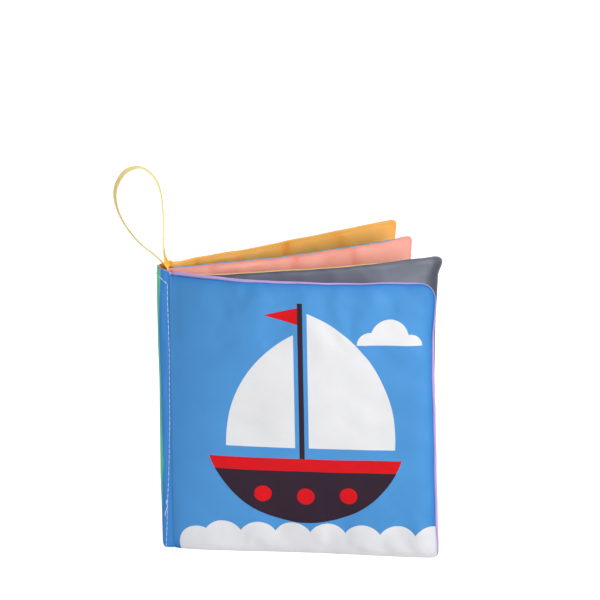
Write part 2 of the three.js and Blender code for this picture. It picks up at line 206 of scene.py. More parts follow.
def finish_cloth(tree, colour, places):
    """Satin-woven polyester over a colour: long floats give a soft sheen, with fine weave and
    slubs. A painted shade from the mesh darkens the colour at seams, creases, a fold and the spine."""
    floats = add(tree, "ShaderNodeVectorMath", {
        0: places, 1: (1 / SATIN_PITCH, SATIN_FLOATS / SATIN_PITCH, 1 / SATIN_PITCH),
    }, operation="MULTIPLY")
    weave = add(tree, "ShaderNodeTexNoise", {
        "Vector": floats, "Scale": 1, "Detail": 2, "Roughness": 0.5,
    })
    cloud = add(tree, "ShaderNodeTexNoise", {"Vector": places, "Scale": 0.045, "Detail": 3})
    shade = ranged(tree, cloud.outputs["Fac"], *NOISE_SPAN, *CLOUD_SHADES)
    grain = ranged(tree, weave.outputs["Fac"], *NOISE_SPAN, *GRAIN_SHADES)
    # Painted shade: the colour is darkened where the mesh sets it, at seams, creases, a fold and
    # the spine
    painted_shade = add(tree, "ShaderNodeAttribute", attribute_name="painted_shade")
    deep = add(tree, "ShaderNodeGamma", {
        "Color": colour,
        "Gamma": maths(tree, "MULTIPLY_ADD", painted_shade.outputs["Fac"], PAINTED_SHADE_DEPTH, 1.0),
    })
    tinted = add(tree, "ShaderNodeVectorMath", {
        0: deep, "Scale": maths(tree, "MULTIPLY", shade, grain),
    }, operation="SCALE")
    add_shader(tree, weave.outputs["Fac"], 0.35, SATIN_RELIEF, {
        "Base Color": tinted,
        "Roughness": ranged(tree, cloud.outputs["Fac"], 0, 1, *SATIN_ROUGHNESS),
        "IOR": 1.45,
        "Specular IOR Level": 0.25,
        "Sheen Weight": 0.03,
        "Sheen Roughness": 0.4,
    })


def cloth_places(tree):
    """The cloth's own UV map in millimetres: across the leaf from the spine, up from the foot."""
    uv = add(tree, "ShaderNodeUVMap", uv_map="cloth")
    return add(tree, "ShaderNodeVectorMath", {0: uv, "Scale": 1 / MM}, operation="SCALE")


SATIN_COLOURS = {
    "blue": "#4c94d3", "lilac": "#bea4dc", "grey": "#777c87", "yellow": "#eccb84",
    "pink": "#f0aca0", "sky": "#5fa6cb", "orange": "#f5b25a", "green": "#66cb9c",
}
WHITE = "#e4e4e6"
AUBERGINE = "#2e1a2b"
RED = "#d8000f"

# The cover's picture, a sailing boat, in millimetres across the cover and up it. A region is what
# lies inside each of its discs (place and radius) and on the low side of each of its edges
# (direction and limit).
WAVE_PITCH = 18
PICTURE = [
    (WHITE, [
        [("edge", (-1, 0), -72), ("edge", (0, -1), -60), ("disc", (43.1, 66.6), 73.2)],
        [("edge", (1, 0), 65), ("edge", (0, -1), -60), ("disc", (98.6, 61.7), 69.0)],
        [("edge", (0, -1), -117), ("disc", (104, 117), 7)],
        [("edge", (0, -1), -117), ("disc", (114, 121), 10)],
        [("edge", (0, -1), -117), ("disc", (125, 117), 6)],
    ]),
    (AUBERGINE, [
        [("edge", (0, 1), 54), ("disc", (70, 70), 52)],
        [
            ("edge", (0, 1), 139), ("edge", (0, -1), -54),
            ("edge", (-1, 0), -67.2), ("edge", (1, 0), 69.8),
        ],
    ]),
    (RED, [
        [("edge", (0, 1), 54), ("edge", (0, -1), -47), ("disc", (70, 70), 52)],
        [("disc", (48, 34), 4.5)],
        [("disc", (70, 33), 4.5)],
        [("disc", (92, 34), 4.5)],
        [("edge", (1, 0), 67.2), ("edge", (-0.26, 1), 119), ("edge", (-0.26, -1), -145)],
    ]),
    (WHITE, [
        [("edge", (0, 1), 11), ("edge", (-1, 0), -14)],
        [("disc", (14, 4), 10)],
        *[[("disc", (WAVE_PITCH * (k + 0.5), 7.5), 10.4)] for k in range(1, 8)],
    ]),
]


def region_mask(tree, places, region):
    """1 inside all of a region's discs and edges, and 0 elsewhere."""
    mask = 1.0
    for kind, place, limit in region:
        operation = "DISTANCE" if kind == "disc" else "DOT_PRODUCT"
        reach = add(tree, "ShaderNodeVectorMath", {0: places, 1: (*place, 0)}, operation=operation)
        inside = maths(tree, "LESS_THAN", reach.outputs["Value"], limit)
        mask = maths(tree, "MULTIPLY", inside, mask)
    return mask


def satin(name, ground, picture=()):
    """Satin with flat areas of transfer print, which sinks into the threads and keeps the sheen."""
    made, tree = new_material(name)
    places = cloth_places(tree)
    colour = linear(ground)
    for ink, regions in picture:
        mask = 0.0
        for region in regions:
            mask = maths(tree, "MAXIMUM", region_mask(tree, places, region), mask)
        colour = mixed(tree, mask, colour, linear(ink))
    finish_cloth(tree, colour, places)
    return made


satins = {
    name: satin(f"{name}_polyester_satin", colour) for name, colour in SATIN_COLOURS.items()
}
cover_print = satin("printed_polyester_satin", SATIN_COLOURS["blue"], PICTURE)


def plain_material(name, kind, texture, colours, strength, depth, values):
    """A material whose fine texture gives it relief and takes it from one colour to another."""
    made, tree = new_material(name)
    places = add(tree, "ShaderNodeTexCoord")
    field = add(tree, kind, {"Vector": places.outputs["Object"], **texture}).outputs[0]
    colour = mixed(tree, field, *[linear(hex_colour) for hex_colour in colours])
    add_shader(tree, field, strength, depth, {"Base Color": colour, **values})
    return made


# Twisted polyester: smooth and slightly glossy, with a fine twist
white_thread = plain_material(
    "white_sewing_thread", "ShaderNodeTexNoise", {"Scale": 2500}, ["#b9c4e6", "#dfe5f6"], 0.4, 0.05,
    {"Roughness": 0.45, "IOR": 1.5, "Sheen Weight": 0.2},
)
# Thin polyester film: hard and glossy, with sharp small facets
clear_film = plain_material(
    "clear_crinkle_film", "ShaderNodeTexVoronoi", {"Scale": 180}, ["#dfe5ea"] * 2, 0.5, 0.4,
    {"Roughness": 0.15, "IOR": 1.57, "Transmission Weight": 0.6},
)
# Needled polyester: dull, white and fibrous
white_wadding = plain_material(
    "white_needled_wadding", "ShaderNodeTexNoise", {"Scale": 900, "Detail": 6, "Roughness": 0.7},
    ["#dedcd6", "#faf9f6"], 0.8, 0.5, {"Roughness": 0.95, "IOR": 1.45, "Sheen Weight": 0.4},
)

RIB_PITCH = 1.1     # real grosgrain ribs are 0.4 mm apart: drawn coarser, so that they show
RIBBON_PAINTED_FOOT = (117, 118.5)   # where along it the far foot begins to take a painted orange reflection


def grosgrain():
    """Narrow polyester grosgrain: its fine ribs are soft bands, and its threads a faint sheen."""
    made, tree = new_material("yellow_grosgrain")
    uv = add(tree, "ShaderNodeUVMap", uv_map="cloth")
    apart = add(tree, "ShaderNodeSeparateXYZ", {0: uv})
    along = apart.outputs["Y"]
    ribs = maths(tree, "SINE", maths(tree, "MULTIPLY", along, 2 * math.pi / (RIB_PITCH * MM)))
    share = ranged(tree, ribs, -1, 1, 0, 1)
    # Painted reflection: the far foot goes to a deep orange, as if lit by the orange satin round it
    painted_foot = ranged(tree, along, RIBBON_PAINTED_FOOT[0] * MM, RIBBON_PAINTED_FOOT[1] * MM, 0, 1)
    pale = mixed(tree, share, linear("#f3d67c"), linear("#ffecac"))
    add_shader(tree, share, 0.15, 0.05, {
        "Base Color": mixed(tree, painted_foot, pale, linear("#ffbb10")),
        "Roughness": 0.5, "IOR": 1.45, "Sheen Weight": 0.08,
    })
    return made


ribbon_weave = grosgrain()


# Leaf forms

@dataclass
class Leaf:
    """One leaf: its make, and how it is bent from the spine to its free edge."""
    index: int
    name: str
    width: float
    height: float
    closing: float      # degrees that its cloths leave free at the hinge line, for closing the book
    top_radius: float
    root_lift: float
    top: list           # headings along its top edge
    foot: list          # headings along its foot
    pull: list          # shares of the edge pull, up its height
    cloths: tuple       # the nodes of its front and its back cloth

    def __post_init__(self):
        self.root_y = self.index * LEAF_PITCH + EDGE_THICKNESS / 2
        self.routes = [self.plan_route(headings) for headings in (self.foot, self.top)]

    def plan_route(self, headings, steps=240):
        """Along the flat leaf's width: how far across, the place in plan, and the heading."""
        shares = np.linspace(0, ROUTE_REACH, steps + 1)
        angle = np.radians(np.interp(shares, PLACE_SHARES, headings))
        step = self.width * ROUTE_REACH / steps
        x = np.concatenate([[0], np.cumsum(np.cos(angle[:-1]) * step)])
        y = self.root_y + np.concatenate([[0], np.cumsum(np.sin(angle[:-1]) * step)])
        return shares * self.width, x, y, angle

    def bend(self, s, z, offset):
        """Flat places on the leaf, offset towards its back, as points of the shared frame."""
        share = z / self.height
        pull = EDGE_PULL * np.interp(share, PULL_PLACES, self.pull)
        s = s - pull * np.clip(s / self.width, 0, 2) ** PULL_FADE
        ends = [[np.interp(s, route[0], values) for values in route[1:]] for route in self.routes]
        x, y, heading = [foot + (top - foot) * share for foot, top in zip(*ends)]
        lift = self.root_lift * share ** LIFT_FADE * np.exp(-s / ROOT_LIFT_REACH)
        return row(x - np.sin(heading) * offset, y + np.cos(heading) * offset, z + lift)

    def root_start(self, side):
        """Where a cloth starts: further from the hinge the deeper it lies behind the hinge line."""
        opens_forward = self.index < 2
        outer = (side < 0) == opens_forward
        depth = HINGE_PROUD + (self.index if opens_forward else 3 - self.index) * LEAF_PITCH
        if self.index in (0, 3) and outer:
            return COVER_START
        if not outer:
            depth += EDGE_THICKNESS
        return ROOT_CLEARANCE + depth * math.tan(math.radians(self.closing))


LEAVES = [
    Leaf(0, "front_cover", 137.5, 150, 20, 8, 0,
         [0, -27, -22, -17, -9, -2, 2, -10], [0, -16, -10, -3, -5, -6, -8, -5],
         [-0.24, 0, 0.15, 0.45, 0.75, 0.78, 0.4, 0.35],
         ("front_cover_outside", "front_cover_inside")),
    Leaf(1, "leaf_2", 142.5, 148.5, 8, 5, 0,
         [0, -4, -2, 9, 11, 15, 21, 27], [0, 8, 7, 8, 11, 14, 16, 17],
         [0.6, 0.8, 1.05, 1.15, 1.15, 0.92, 0.55, -1.3], ("leaf_2_front", "leaf_2_back")),
    Leaf(2, "leaf_3", 137.5, 151, 8, 3.5, 0.8,
         [0, 26, 18, 16, 20, 26, 32, 36], [0, 25, 22, 21, 23, 27, 30, 31],
         [0.2, 0.5, 0.7, 0.8, 0.8, 0.7, 0.3, 0], ("leaf_3_front", "leaf_3_back")),
    Leaf(3, "back_cover", 141.5, 152.5, 15, 3.5, 1.5,
         [0, 48, 39, 30, 32, 35, 34, 34], [0, 42, 39, 34, 34, 35, 34, 33],
         [0.2, 0.4, 0.6, 0.7, 0.7, 0.6, 0.3, -0.2], ("back_cover_inside", "back_cover_outside")),
]


def units(vectors):
    """Vectors brought to a length of 1."""
    return vectors / np.linalg.norm(vectors, axis=1)[:, None]


def on_line(line, at):
    return np.interp(at, *zip(*line))


def rise(distance, reach):
    return np.sin(np.pi / 2 * np.clip(distance / reach, 0, 1))


def half_thickness(leaf, s, z):
    """Half the leaf's thickness: pressed at the seams, full over the middle."""
    full = (
        rise(s, ROOT_REACH) ** 2 * rise(leaf.width - s, EDGE_REACH)
        * rise(z, EDGE_REACH) * rise(leaf.height - z, EDGE_REACH)
    )
    return (EDGE_THICKNESS + (CROWN_THICKNESS - EDGE_THICKNESS) * full) / 2


# Crumples: light pressure fills a pocket of two cloths, cut a little too large for its seams
SIM_COLUMNS = 44
SIM_ROWS = 46
SIM_FRAMES = 20
SIM_SETTINGS = {
    "quality": 6,
    "mass": 0.15,
    "tension_stiffness": 12,
    "compression_stiffness": 12,
    "shear_stiffness": 4,
    "bending_stiffness": 0.35,
    "vertex_group_mass": "seam",
    "pin_stiffness": 1,
    "shrink_min": -0.035,       # so much spare cloth inside its seams
    "use_pressure": True,
    "uniform_pressure_force": 4,
}
CRUMPLE_CAP = 0.75      # how far a crumple may stand out or in, in millimetres


def pocket_key(side, i, j):
    """A place of the pocket's grids: its side, or 0 on the edge that they share, column and row."""
    return 0 if i in (0, SIM_COLUMNS) or j in (0, SIM_ROWS) else side, i, j


def pocket_mesh(leaf, chance):
    """The flat pocket: a front and a back grid that share their edge."""
    s = np.linspace(0, leaf.width, SIM_COLUMNS + 1)
    z = np.linspace(0, leaf.height, SIM_ROWS + 1)
    index, places = {}, []
    for side in (-1, 1):
        for j, zz in enumerate(z):
            for i, ss in enumerate(s):
                key = pocket_key(side, i, j)
                if key not in index:
                    index[key] = len(places)
                    lift = key[0] and side * (1 + 0.25 * chance.random())
                    places.append((ss * MM, lift * MM, zz * MM))
    faces = []
    for side in (-1, 1):
        for j in range(SIM_ROWS):
            for i in range(SIM_COLUMNS):
                corners = [(i, j), (i + 1, j), (i + 1, j + 1), (i, j + 1)][::-side]
                faces.append([index[pocket_key(side, *corner)] for corner in corners])
    return places, faces, index


def blurred(field, passes=10):
    """The field without its detail: what is left when each place takes its neighbours' mean."""
    smooth = field.copy()
    for _ in range(passes):
        padded = np.pad(smooth, 1, mode="edge")
        smooth = (padded[:-2, 1:-1] + padded[2:, 1:-1] + padded[1:-1, :-2] + padded[1:-1, 2:]) / 4
    return smooth


def simulated_crumples(leaf):
    """How far the crumples of the front and the back cloth stand out, on a grid over the leaf."""
    flat = {side: np.zeros((SIM_ROWS + 1, SIM_COLUMNS + 1)) for side in (-1, 1)}
    scene = bpy.context.scene
    places, faces, index = pocket_mesh(leaf, random.Random(leaf.index + 1))
    mesh = bpy.data.meshes.new("pocket")
    mesh.from_pydata(places, [], faces)
    pocket = placed("pocket", mesh)
    seam = pocket.vertex_groups.new(name="seam")
    seam.add([number for (side, _, _), number in index.items() if side == 0], 1, "REPLACE")
    cloth = pocket.modifiers.new("cloth", "CLOTH")
    for name, value in SIM_SETTINGS.items():
        setattr(cloth.settings, name, value)
    cloth.settings.effector_weights.gravity = 0
    cloth.collision_settings.use_collision = False
    for step in range(1, SIM_FRAMES + 1):
        scene.frame_set(step)
    settled = pocket.evaluated_get(bpy.context.evaluated_depsgraph_get())
    lift = np.array([vertex.co.y for vertex in settled.data.vertices]) / MM
    for side in (-1, 1):
        full = np.zeros((SIM_ROWS + 1, SIM_COLUMNS + 1))
        for j in range(SIM_ROWS + 1):
            for i in range(SIM_COLUMNS + 1):
                full[j, i] = side * lift[index[pocket_key(side, i, j)]]
        detail = full - blurred(full)
        flat[side] = CRUMPLE_CAP * np.tanh(detail / CRUMPLE_CAP)
    bpy.data.objects.remove(pocket)
    scene.frame_set(1)
    return flat


def sample(field, across, up):
    """A grid's value at shares of the way across it and up it, between its points."""
    rows, columns = np.array(field.shape) - 1
    i = np.clip(across, 0, 1) * columns
    j = np.clip(up, 0, 1) * rows
    i0 = np.minimum(i.astype(int), columns - 1)
    j0 = np.minimum(j.astype(int), rows - 1)
    di, dj = i - i0, j - j0
    low = field[j0, i0] * (1 - di) + field[j0, i0 + 1] * di
    high = field[j0 + 1, i0] * (1 - di) + field[j0 + 1, i0 + 1] * di
    return low * (1 - dj) + high * dj


# Creases of a whole leaf: place on the top edge, lean, depth, half width and reach down the leaf
CREASES = {
    "front_cover": [(110, 0.15, 0.5, 7, 45), (101, -0.1, -0.35, 4, 30), (134, 0, 0.9, 4, 300)],
    "leaf_2": [(66, 0.2, 0.35, 6, 60), (126, -0.35, 0.6, 7, 50), (95, 0.1, 0.25, 5, 50)],
    "leaf_3": [
        (22, 0.1, 0.6, 2.2, 70), (68, -0.25, 0.9, 2.5, 70),
        (100, 0.1, 0.8, 2.5, 60), (84, 0.3, 0.4, 5, 50),
    ],
    "back_cover": [(17, 0.08, 0.9, 2, 90), (72, -0.2, 0.9, 3.5, 70), (104, 0.15, 0.5, 4, 60)],
}

CREASE_ROUND = 0.5      # how round a crease is at its bottom, in square millimetres
CREASE_START = 4
BELLY_PLACE = 5
BELLY_DEPTHS = (0.55, 0.9)      # at the front cover's top, and how much more at its foot
FOLDED_LEAF = 1
FOLD_REACH = (6, 19)    # the top free corner's fold: in from the free edge, down from the top
FOLD_LEAN = 0.12
FOLD_DEPTH = 1.2


def corner_fold(leaf, s, z):
    """How far a leaf's top free corner is folded forward, as a share: it has a straight bend."""
    lean = FOLD_LEAN * (leaf.height - z)
    across = np.clip((s - leaf.width + FOLD_REACH[0] + lean) / FOLD_REACH[0], 0, 1.2)
    return across * np.exp(-((leaf.height - z) / FOLD_REACH[1]) ** 2)


def creased(leaf, s, z, width):
    """The sum of a leaf's creases, each so many times its own width."""
    total = np.zeros(np.broadcast(s, z).shape)
    for place, lean, depth, half_width, reach in CREASES[leaf.name]:
        down = leaf.height - z
        away = np.sqrt((s - place - lean * down) ** 2 + CREASE_ROUND) / (half_width * width)
        total = total + depth * np.exp(-away) * np.exp(-(down / reach) ** 2)
    return total


def wave(leaf, s, z):
    """How far the whole leaf leaves its smooth form: soft creases, a belly at the seam, a fold."""
    total = creased(leaf, s, z, 1) * rise(s, CREASE_START)
    if leaf.index == 0:
        belly = BELLY_DEPTHS[0] + BELLY_DEPTHS[1] * np.clip(1 - z / leaf.height, 0, 1) ** 2
        total = total - belly * (s / BELLY_PLACE) * np.exp(1 - s / BELLY_PLACE)
    if leaf.index == FOLDED_LEAF:
        total = total - FOLD_DEPTH * corner_fold(leaf, s, z)
    return total


# How far the outer face of each cover stands out beyond its pressed form, over the middle. Next to
# the spine seam the neighbouring leaves press the cloths flat: crumples set in further out, and the
# inside of the back cover gives way a little.
COVER_OUTSIDES = ((0, -1), (3, 1))      # leaf and side
COVER_PUFF = 0.6
PUFF_REACHES = (10, 9)      # from the spine, and from the other three edges
CRUMPLE_START = 12
CRUMPLE_REACH = 30
ROOT_YIELD = 0.15
ROOT_YIELD_REACH = 8


def surface(leaf, side, s, z, crumples):
    """Offset of a cloth's outer face from the leaf's middle surface, towards the leaf's back."""
    half = half_thickness(leaf, s, z)
    if (leaf.index, side) in COVER_OUTSIDES:
        inner, outer = PUFF_REACHES
        up = rise(z, outer) * rise(leaf.height - z, outer)
        half = half + COVER_PUFF * rise(s, inner) * rise(leaf.width - s, outer) * up
    if (leaf.index, side) == (3, -1):
        half = half - ROOT_YIELD * np.exp(-s / ROOT_YIELD_REACH)
    crumple = sample(crumples[side], s / leaf.width, z / leaf.height)
    return side * (half + crumple * rise(s - CRUMPLE_START, CRUMPLE_REACH)) + wave(leaf, s, z)


# Waves of a seam line, depth and length: along the top, the foot and the free edge
SEAM_WAVES = [
    [(0.12, 8.3), (0.07, 3.4), (0.16, 21)], [(0.1, 9.1), (0.06, 3.7)], [(0.12, 9.7), (0.08, 4.1)],
]
SEAM_FOOT_LIFT = 0.1
SEAM_PHASE = 1.7        # from leaf to leaf
SEAM_FADE = 6           # so fast the moves fade away from the edge


def edge_wobble(leaf, s, z):
    """Hand-sewn seams don't run straight: small moves of the top, the foot and the free edge."""
    k = leaf.index * SEAM_PHASE
    top, foot, free = [
        sum(depth * np.sin(at / length + (n + 1) * k) for n, (depth, length) in enumerate(waves))
        for at, waves in zip((s, s, z), SEAM_WAVES)
    ]
    up = np.clip(z / leaf.height, 0, 1)
    out = np.clip(s / leaf.width, 0, 1)
    lift = top * up ** SEAM_FADE + (SEAM_FOOT_LIFT + foot) * (1 - up) ** SEAM_FADE
    return s + free * out ** SEAM_FADE, z + lift * rise(s, SEAM_FADE)


# Rims: how a cloth goes on past the inset outline of its grid. Each pair is how far out it has
# gone, as a share of the inset, and its offset as a share of the offset at the inset outline.
RIM_INSET = 1.6
HIDDEN_SHARE = 0.3      # how far an over cloth draws back where it doesn't show past the other
UNDER_SHARE = 0.5       # how far an under cloth draws back from an over cloth that shows fully
ROOT_INSET = 1.0
UNDER_FREE = [(0.3, 1), (0.42, 0.9), (0.44, 0.65), (0.36, 0.35), (0.2, 0.15), (0, 0.05), (-0.2, 0)]
OVER_FREE = [
    (0.45, 0.96), (0.85, 0.7), (1, 0.1), (0.9, -0.5), (0.66, -0.82), (0.5, -0.7), (0.4, -0.3),
]
FOOT = [(0.45, 0.97), (0.72, 0.86), (0.9, 0.62), (0.98, 0.3), (0.9, 0.06), (0.6, 0.02), (0.3, 0)]
ROOT = [(0.3, 1), (0.5, 1), (0.7, 1), (0.8, 1), (0.9, 1), (0.96, 1), (1, 1)]
GRID_STEP = 2.2
CORNER_ROWS = (3, 5)    # at the foot and at the top
CORNER_DRAW = 3         # a round corner draws the columns in from so many radii away
EDGE_NEAR = 0.01
SEAM_SHADE_REACH = 2         # how far from its seam the painted shade of the rounded edge reaches
# How strong the painted seam shade is on each leaf
SEAM_SHADE_SHARES = [1, 0.45, 0.5, 0.45]
ROOT_SHADE = 0.15       # painted shade on the covers' outside cloth, next to the spine seam
ROOT_SHADE_REACH = 9
SPINE_SHADE = 0.42      # painted shade on the same cloth where it goes round the spine
CREASE_SHADES = [0, 0.3, 1.2, 1.6]     # painted crease shade on the leaves' front cloths, near the top edge
CREASE_SHADE_REACH = 20
CREASE_SHADE_WIDTH = 0.55   # a crease's painted shade is this much narrower than the crease
# Painted shade on the folded top corner, where it turns away from the light
FOLD_SHADE = 1
FOLD_SHADE_RISE = 3


def outline_rows(foot, top, foot_radius, top_radius):
    """The heights of a panel's rows: along the round of its corners, and evenly between them."""
    low, high = CORNER_ROWS
    bands = round((top - foot - foot_radius - top_radius) / GRID_STEP)
    return np.array([
        *[foot + foot_radius * (1 - math.cos(i / low * math.pi / 2)) for i in range(low)],
        *np.linspace(foot + foot_radius, top - top_radius, bands + 1),
        *[top - top_radius * (1 - math.sin(i / high * math.pi / 2)) for i in range(1, high + 1)],
    ])


def flat_grid(start, end, foot, top, foot_radius, top_radius):
    """Flat places of a panel with round free corners: two arrays, rows by columns."""
    z = outline_rows(foot, top, foot_radius, top_radius)
    s = np.linspace(start, end, round((end - start) / GRID_STEP) + 1)
    radius = np.where(z > top - top_radius, top_radius, foot_radius)
    into = np.maximum(0, np.maximum(z - (top - top_radius), foot + foot_radius - z))
    cut = radius - np.sqrt(np.maximum(0, radius ** 2 - np.minimum(into, radius) ** 2))
    drawn_from = end - CORNER_DRAW * max(foot_radius, top_radius)
    draw = np.clip((s - drawn_from) / (end - drawn_from), 0, None)
    return s[None, :] - cut[:, None] * draw[None, :], np.repeat(z[:, None], len(s), 1)


def border_of(rows, columns):
    """Grid indices round the border, counter-clockwise from the foot of the root."""
    foot = [(0, i) for i in range(columns)]
    free = [(j, columns - 1) for j in range(1, rows)]
    top = [(rows - 1, i) for i in range(columns - 2, -1, -1)]
    root = [(j, 0) for j in range(rows - 2, 0, -1)]
    return foot + free + top + root


def border_weights(outward):
    """How far each border place is foot, root, and top or free edge, from its outward direction."""
    foot = np.clip(-outward[:, 1], 0, 1) ** 2
    root = np.clip(-outward[:, 0], 0, 1) ** 2
    return foot, root, np.clip(1 - foot - root, 0, 1)


def quads(rows, columns):
    """The faces of a grid of points, each from its low left corner counter-clockwise."""
    return [
        (a, a + 1, a + columns + 1, a + columns)
        for j in range(rows - 1) for a in range(j * columns, (j + 1) * columns - 1)
    ]


def painted_shade_at(leaf, side, s, z):
    """Painted shade on a leaf's cloth: along its seams, creases and fold, and next to the spine."""
    seam_distance = np.minimum(leaf.width - s, np.minimum(z, leaf.height - z))
    painted_shade = SEAM_SHADE_SHARES[leaf.index] * np.exp(-seam_distance / SEAM_SHADE_REACH)
    # Painted shade next to the spine, where the cover's outside turns away from the light
    if (leaf.index, side) in COVER_OUTSIDES:
        painted_shade = painted_shade + ROOT_SHADE * np.exp(-s / ROOT_SHADE_REACH)
    # Painted shade in the creases, near the top edge
    if side < 0:
        near_top = np.exp(-((leaf.height - z) / CREASE_SHADE_REACH) ** 2)
        shade = np.abs(creased(leaf, s, z, CREASE_SHADE_WIDTH))
        painted_shade = painted_shade + CREASE_SHADES[leaf.index] * shade * near_top
    # Painted shade on the folded corner
    if leaf.index == FOLDED_LEAF:
        painted_shade = painted_shade + FOLD_SHADE * np.clip(corner_fold(leaf, s, z) * FOLD_SHADE_RISE, 0, 1)
    return painted_shade


def free_rim(over, spare, rim):
    """How far a rim has gone out at the free edge and the top, and its share of the offset. Spare
    says how far the over cloth shows past the under cloth."""
    if not over:
        return rim[0] * RIM_INSET - (spare - 1) * RIM_INSET * UNDER_SHARE, rim[1]
    reach = RIM_INSET * (1 - HIDDEN_SHARE * np.clip(1 - spare, 0, 1))
    out = rim[0] * reach
    if rim[1] >= 0:
        return out, rim[1]
    return reach - (reach - out) * spare, rim[1] * np.clip(spare * 2, 0, 1)


def cloth_panel(leaf, side, over, crumples):
    """One cloth of a leaf: its points, faces, flat places and painted shade. An over cloth wraps
    round the leaf's edge."""
    start = leaf.root_start(side) + ROOT_INSET
    s, z = flat_grid(
        start, leaf.width - RIM_INSET, RIM_INSET, leaf.height - RIM_INSET,
        FOOT_RADIUS - RIM_INSET, leaf.top_radius - RIM_INSET,
    )
    rows, columns = s.shape
    border = border_of(rows, columns)
    edge = np.array([(s[j, i], z[j, i]) for j, i in border])
    along = np.roll(edge, -1, 0) - np.roll(edge, 1, 0)
    outward = units(np.stack([along[:, 1], -along[:, 0]], 1))
    at_root = edge[:, 0] < start + EDGE_NEAR
    at_foot, at_top = edge[:, 1] < z.min() + EDGE_NEAR, edge[:, 1] > z.max() - EDGE_NEAR
    foot_weight, root_weight, free_weight = border_weights(outward)
    level = surface(leaf, side, *edge.T, crumples) - wave(leaf, *edge.T)
    spare = seam_roll(leaf, *edge.T)
    flat = [np.stack([s.ravel(), z.ravel()], 1)]
    cloth = [flat[0].copy()]
    offset = [surface(leaf, side, s, z, crumples).ravel()]
    painted_shade = [painted_shade_at(leaf, side, s, z).ravel()]
    travelled = np.zeros(len(edge))
    last_out, last_level = np.zeros(len(edge)), level
    for foot, root, free in zip(FOOT, ROOT, OVER_FREE if over else UNDER_FREE):
        free_out, free_share = free_rim(over, spare, free)
        out = (
            foot_weight * foot[0] * RIM_INSET + root_weight * root[0] * ROOT_INSET
            + free_weight * free_out
        )
        share = foot_weight * foot[1] + root_weight * root[1] + free_weight * free_share
        share = np.where(at_root & at_top, free_share, np.where(at_root & at_foot, foot[1], share))
        move = outward * out[:, None]
        up = np.where(at_top, free_out, np.where(at_foot, -foot[0] * RIM_INSET, 0))
        move[at_root] = np.stack([np.full_like(up, -root[0] * ROOT_INSET), up], 1)[at_root]
        flat.append(edge + move)
        offset.append(level * share + wave(leaf, *flat[-1].T))
        travelled = travelled + np.hypot(out - last_out, level * share - last_level)
        last_out, last_level = out, level * share
        cloth.append(edge + outward * travelled[:, None])
        # The rim's painted shade: the seam shade on an under cloth, none on an over cloth, and the
        # root shade at a cover's spine end
        at_edge = (1 - root_weight) * (0 if over else SEAM_SHADE_SHARES[leaf.index])
        painted_shade.append(at_edge + root_weight * (ROOT_SHADE if leaf.index in (0, 3) else 0))
    faces = quads(rows, columns)
    ring = [j * columns + i for j, i in border]
    for number in range(len(FOOT)):
        first = rows * columns + number * len(border)
        outer = list(range(first, first + len(border)))
        for k in range(len(border)):
            n = (k + 1) % len(border)
            faces.append((ring[n], ring[k], outer[k], outer[n]))
        ring = outer
    if side > 0:
        faces = [face[::-1] for face in faces]
    flat, offset, cloth, painted_shade = [np.concatenate(part) for part in (flat, offset, cloth, painted_shade)]
    return leaf.bend(*edge_wobble(leaf, *flat.T), offset), faces, cloth, painted_shade


def new_piece(name, points, faces, materials, cloth=None, face_materials=None, painted_shade=None):
    """A smooth mesh object whose place is in its vertices, with the cloth's own UV map. Painted
    shade says how much darker the colour is painted at each point."""
    mesh = bpy.data.meshes.new(name)
    mesh.from_pydata([tuple(p) for p in points], [], faces)
    for material in materials:
        mesh.materials.append(material)
    mesh.polygons.foreach_set("use_smooth", [True] * len(mesh.polygons))
    if face_materials is not None:
        mesh.polygons.foreach_set("material_index", face_materials)
    if cloth is not None:
        corners = np.array([loop.vertex_index for loop in mesh.loops])
        layer = mesh.uv_layers.new(name="cloth")
        layer.data.foreach_set("uv", (np.asarray(cloth)[corners] * MM).ravel())
    if painted_shade is not None:
        mesh.attributes.new("painted_shade", "FLOAT", "POINT").data.foreach_set("value", painted_shade)
    mesh.update()
    return placed(name, mesh)


SHARP_ANGLE = math.radians(65)


def made_plain(piece):
    """The piece with its modifiers worked into its mesh."""
    evaluated = piece.evaluated_get(bpy.context.evaluated_depsgraph_get())
    mesh = bpy.data.meshes.new_from_object(evaluated)
    mesh.set_sharp_from_angle(angle=SHARP_ANGLE)
    piece.modifiers.clear()
    old = piece.data
    piece.data = mesh
    bpy.data.meshes.remove(old)
    mesh.name = piece.name
    return piece


def thickened(piece):
    """Smooths a sheet and gives it thickness towards its inside."""
    smooth = piece.modifiers.new("smooth", "SUBSURF")
    smooth.levels = smooth.render_levels = 1
    smooth.boundary_smooth = "PRESERVE_CORNERS"
    shell = piece.modifiers.new("thickness", "SOLIDIFY")
    shell.thickness = CLOTH_THICKNESS * MM
    shell.offset = -1
    return made_plain(piece)


def stands_for(piece, body, node):
    """The piece rides on a body and stands in for a node, which is hidden."""
    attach(piece, body)
    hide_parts(node)
    return piece


# Where along its top edge a leaf's back cloth stops to show over its front cloth
ROLL_ENDS = {"leaf_2": 112, "leaf_3": 131}
ROLL_FADE = 9
PAGE_ROLL = 0.6
BACK_COVER_ROLL = 0.5
# How far the front cover's lining shows past its outside cloth: along the top, the least, the more
# of it at the spine and how far that reaches, and up the free edge, by height
COVER_TOP_ROLL = (0.7, 1.5, 70)
FREE_ROLL = (12, 8)     # it changes from one to the other so far from the free edge, over so much
COVER_ROLL = [(0, 0.6), (4, 1), (20, 1.7), (112, 1.7), (124, 1.2), (133, 0.7), (146, 0.35)]


